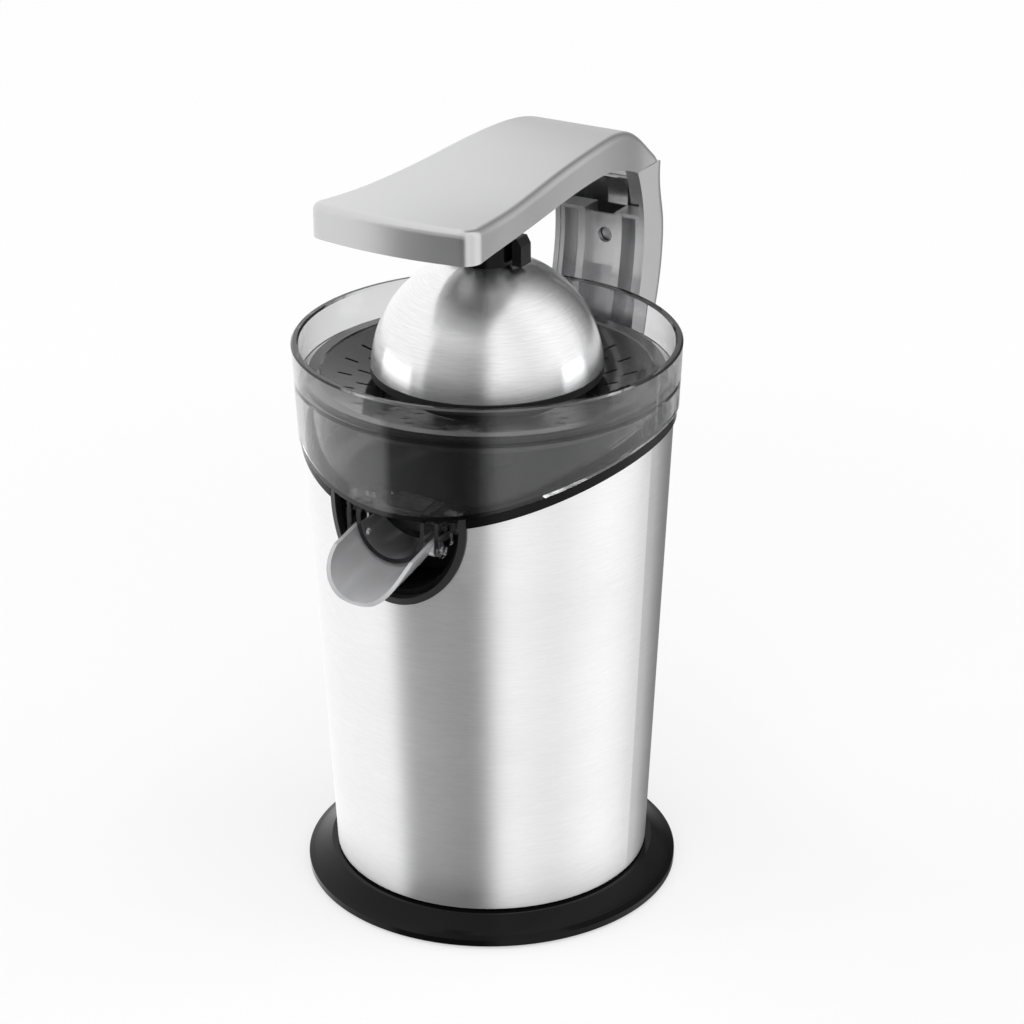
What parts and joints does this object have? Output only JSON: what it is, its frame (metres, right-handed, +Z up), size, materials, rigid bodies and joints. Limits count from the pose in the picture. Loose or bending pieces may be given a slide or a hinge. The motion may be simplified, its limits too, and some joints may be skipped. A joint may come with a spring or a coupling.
{
  "type": "lever citrus juice press",
  "caption": "Upright electric citrus press: tapered brushed steel body, smoked clear container with sieve and reamer, tilting spout, steel press dome under a wide hinged lever on a rear column.",
  "frame": {"origin": "on the floor under the middle of the base, on the reamer's axis, at the underside of the middle foot pad", "axes": "+Z up; -Y towards the spout, +Y towards the lever's column; +X to the right when facing +Y"},
  "size_m": [0.1725, 0.2354, 0.3394],
  "materials": {
    "gloss_black": "glossy black moulding",
    "black_plastic": "fine-grained black moulding",
    "black_rubber": "matt black rubber",
    "brushed_steel": "fine horizontal brushing",
    "screw_steel": "zinc-plated steel",
    "shaft_steel": "ground stainless steel",
    "motor_steel": "plain zinc-plated steel",
    "magnet": "sintered ferrite",
    "bronze": "sintered bronze",
    "gear_plastic": "natural acetal",
    "smoked_clear": "smoked clear moulding, glossy",
    "spout_plastic": "translucent grey moulding, satin",
    "grey_plastic": "grey moulding, satin",
    "silver_plastic": "satin silver paint"
  },
  "bodies": {
    "base": {"base_ring": "gloss_black", "cord_gland": "black_rubber", "bottom_plate": "black_plastic", "rubber_feet": "black_rubber", "bottom_screws": "screw_steel", "steel_skin": "brushed_steel", "collar": "gloss_black", "spout_trim": "black_plastic", "chassis": "black_plastic", "shaft_bush": "bronze", "shaft_seal": "black_rubber", "motor_can": "motor_steel", "motor_magnets": "magnet", "motor_cap": "motor_steel", "motor_screws": "screw_steel", "gearbox_plate": "black_plastic", "gearbox_cover": "black_plastic", "gearbox_screws": "screw_steel", "idler_axle": "screw_steel", "microswitch": "black_plastic", "column": "silver_plastic", "column_screws": "screw_steel", "column_frame": "silver_plastic", "frame_screw": "screw_steel", "hinge_pin": "screw_steel"},
    "rotor": {"rotor": "motor_steel", "motor_pinion": "bronze"},
    "idler": {"idler_gear": "gear_plastic"},
    "output": {"output_gear": "gear_plastic", "gear_clip": "screw_steel", "return_spring": "screw_steel"},
    "shaft": {"drive_shaft": "shaft_steel"},
    "reamer": {"reamer": "grey_plastic"},
    "plunger": {"switch_plunger": "gear_plastic"},
    "container": {"juice_container": "smoked_clear"},
    "spout": {"spout": "spout_plastic"},
    "sieve": {"sieve": "grey_plastic"},
    "lever": {"lever_top": "silver_plastic", "lever_cover": "silver_plastic", "lever_screws": "screw_steel", "lever_yoke": "black_plastic", "lever_hub": "silver_plastic", "lever_inner_screws": "screw_steel", "hinge_spring": "screw_steel"},
    "dome": {"press_dome": "brushed_steel", "dome_liner": "black_plastic", "dome_cap": "gloss_black", "dome_pin": "screw_steel", "dome_screw": "screw_steel"},
    "tab_left": {"release_left": "gloss_black"},
    "tab_right": {"release_right": "gloss_black"}
  },
  "joints": [
    {"name": "rotor_spin", "type": "hinge", "parent": "base", "child": "rotor", "pos_m": [0, 0.0072, 0.08], "axis": [0, 0, 1], "continuous": true},
    {"name": "idler_spin", "type": "hinge", "parent": "base", "child": "idler", "pos_m": [0, 0.036, 0.115], "axis": [0, 0, 1], "continuous": true},
    {"name": "output_spin", "type": "hinge", "parent": "base", "child": "output", "pos_m": [0, 0, 0.12], "axis": [0, 0, 1], "continuous": true},
    {"name": "shaft_press", "type": "slide", "parent": "output", "child": "shaft", "axis": [0, 0, 1], "range_m": [-0.002, 0], "stiffness_N_per_m": 1500, "springref_m": 0.003, "deforming": ["return_spring"]},
    {"name": "reamer_lift", "type": "slide", "parent": "shaft", "child": "reamer", "axis": [0, 0, 1], "range_m": [0, 0.003]},
    {"name": "switch_press", "type": "slide", "parent": "base", "child": "plunger", "axis": [0, 0, 1], "range_m": [-0.002, 0]},
    {"name": "container_lift", "type": "slide", "parent": "base", "child": "container", "axis": [0, 0, 1], "range_m": [0, 0.0015]},
    {"name": "spout_tilt", "type": "hinge", "parent": "container", "child": "spout", "pos_m": [0, -0.076, 0.193], "axis": [-1, 0, 0], "range_deg": [0, 12]},
    {"name": "sieve_lift", "type": "slide", "parent": "container", "child": "sieve", "axis": [0, 0, 1], "range_m": [0, 0.0015]},
    {"name": "lever_raise", "type": "hinge", "parent": "base", "child": "lever", "pos_m": [0, 0.115, 0.3069], "axis": [-1, 0, 0], "range_deg": [0, 70]},
    {"name": "dome_tilt", "type": "hinge", "parent": "lever", "child": "dome", "pos_m": [0, 0, 0.306], "axis": [1, 0, 0], "range_deg": [-1.5, 1.5]},
    {"name": "tab_left_press", "type": "slide", "parent": "dome", "child": "tab_left", "axis": [1, 0, 0], "range_m": [0, 0.0015], "stiffness_N_per_m": 400, "springref_m": -0.002},
    {"name": "tab_right_press", "type": "slide", "parent": "dome", "child": "tab_right", "axis": [-1, 0, 0], "range_m": [0, 0.0015], "stiffness_N_per_m": 400, "springref_m": -0.002}
  ],
  "couplings": [
    {"joint": "idler_spin", "follows": "rotor_spin", "ratio": -0.33333},
    {"joint": "output_spin", "follows": "rotor_spin", "ratio": 0.095238},
    {"joint": "switch_press", "follows": "shaft_press", "ratio": 1}
  ]
}
